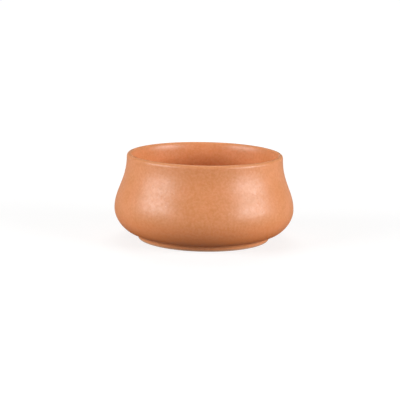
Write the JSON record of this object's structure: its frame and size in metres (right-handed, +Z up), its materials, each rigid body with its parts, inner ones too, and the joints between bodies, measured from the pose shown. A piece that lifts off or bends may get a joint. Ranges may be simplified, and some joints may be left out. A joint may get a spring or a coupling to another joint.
{
  "type": "serving bowl",
  "caption": "Small round serving bowl of satin-glazed stoneware: full low belly, wall drawn in to a near-upright neck, rounded lip and low foot ring.",
  "frame": {"origin": "middle of the foot ring, on the plane that the bowl rests on", "axes": "+Z up along the bowl's turning axis; the bowl is round, so +X and +Y may point anywhere level"},
  "size_m": [0.14, 0.14, 0.0668],
  "materials": {
    "bare_stoneware": "bare fired clay, matt",
    "satin_glaze": "satin-matt glaze",
    "base_satin_glaze": "satin-matt glaze"
  },
  "bodies": {
    "root": {"stoneware_body": "bare_stoneware", "glaze_coat": "satin_glaze", "base_glaze": "base_satin_glaze"}
  },
  "joints": []
}
